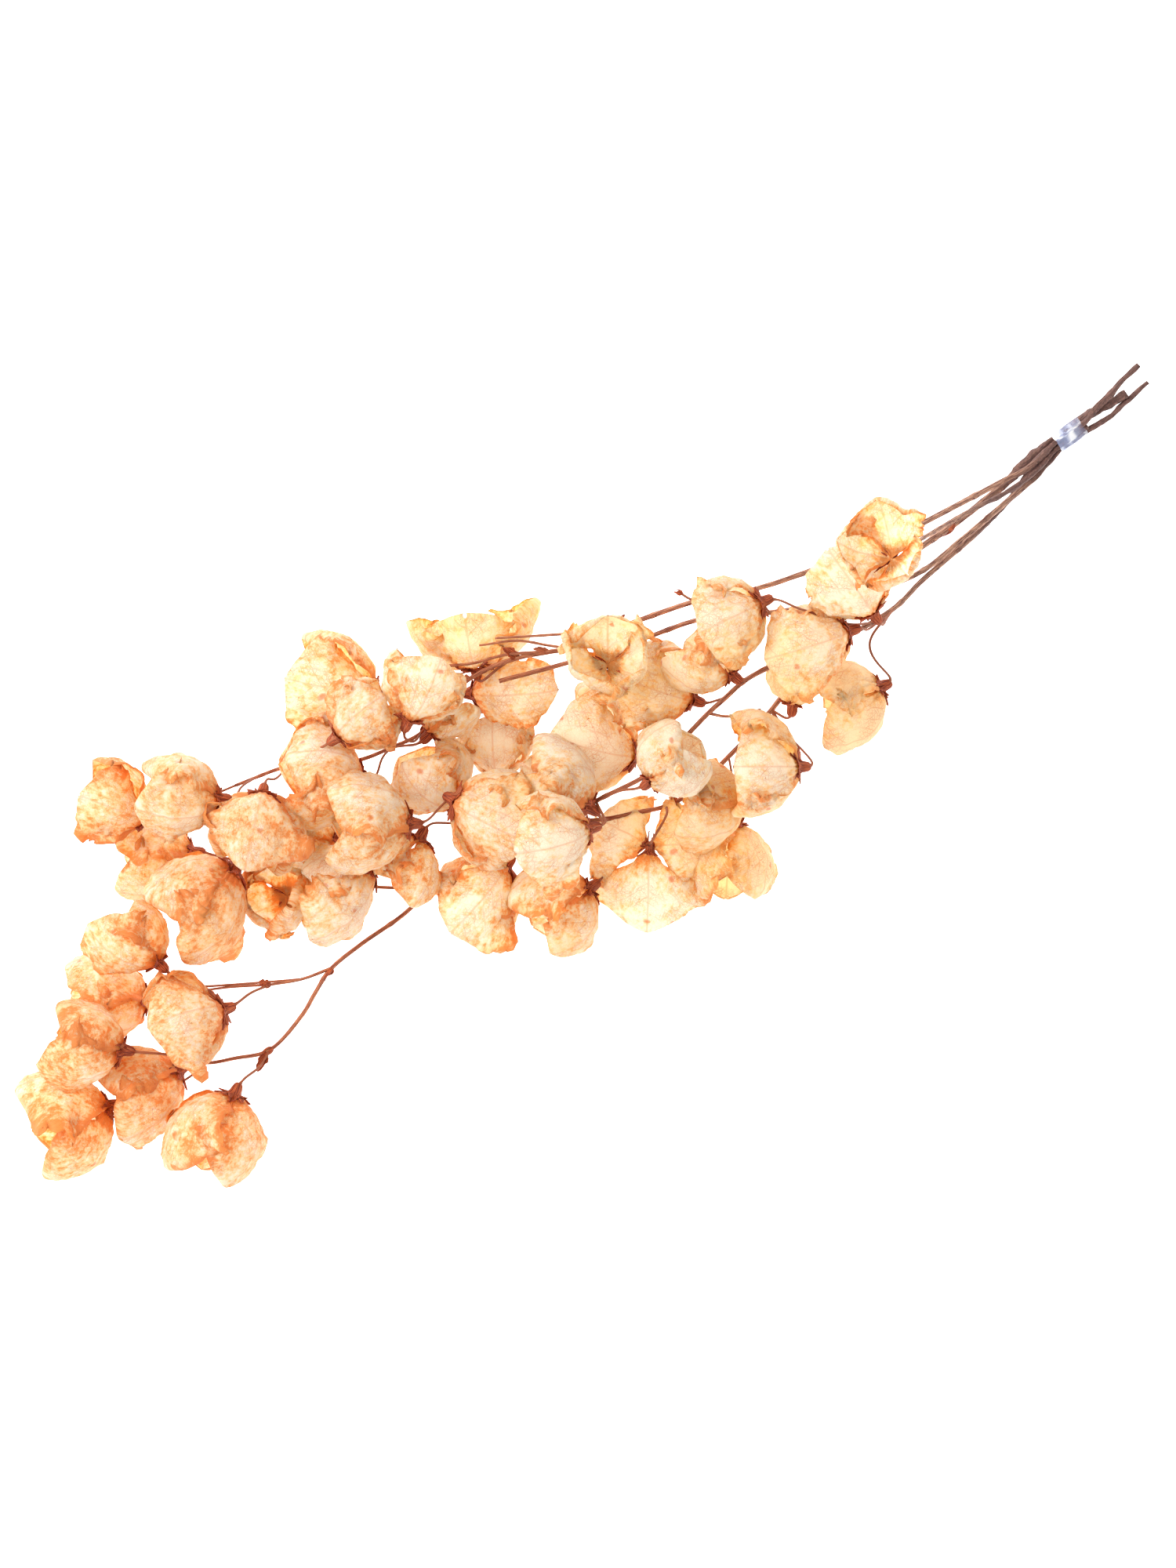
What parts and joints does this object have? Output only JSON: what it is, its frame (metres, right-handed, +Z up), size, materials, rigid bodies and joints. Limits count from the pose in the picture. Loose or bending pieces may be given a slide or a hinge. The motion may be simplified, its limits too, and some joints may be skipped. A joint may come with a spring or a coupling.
{
  "type": "dried bougainvillea bunch",
  "caption": "Lying bunch of dried bougainvillea: papery peach blooms of cupped pointed bracts on thin woody stems, tied with clear film tape near the cut ends.",
  "frame": {"origin": "on the surface the bunch lies on, under the middle of its box", "axes": "+X along the bunch towards the cut stem ends, +Y across it to the left of +X, +Z up from the surface"},
  "size_m": [0.6937, 0.25, 0.1265],
  "materials": {
    "wood": "dry brown bark, matt",
    "petals": "thin dry papery bract, translucent, fine net veins",
    "film": "clear film tape, slightly milky"
  },
  "bodies": {
    "root": {"stem_1": "wood", "stem_2": "wood", "stem_3": "wood", "stem_4": "wood", "stem_5": "wood", "tape": "film", "bloom_a1": "petals", "bloom_a2": "petals", "bloom_a3": "petals", "bloom_a4": "petals", "bloom_a5": "petals", "bloom_a6": "petals", "bloom_a7": "petals", "bloom_b1": "petals", "bloom_b2": "petals", "bloom_b3": "petals", "bloom_b4": "petals", "bloom_b5": "petals", "bloom_c1": "petals", "bloom_c2": "petals", "bloom_c3": "petals", "bloom_c4": "petals", "bloom_c5": "petals", "bloom_c6": "petals", "bloom_c7": "petals", "bloom_d1": "petals", "bloom_d2": "petals", "bloom_d3": "petals", "bloom_d4": "petals", "bloom_d5": "petals", "bloom_d6": "petals", "bloom_e1": "petals", "bloom_e2": "petals", "bloom_e3": "petals", "bloom_e4": "petals", "bloom_e5": "petals", "bloom_e6": "petals", "bloom_f1": "petals", "bloom_f2": "petals", "bloom_f3": "petals", "bloom_f4": "petals", "bloom_f5": "petals", "bloom_g1": "petals", "bloom_h1": "petals", "bloom_h2": "petals", "bloom_h3": "petals", "bloom_h4": "petals", "bloom_h5": "petals", "bloom_h6": "petals", "bloom_i1": "petals", "bloom_i2": "petals", "bloom_i3": "petals"}
  },
  "joints": []
}
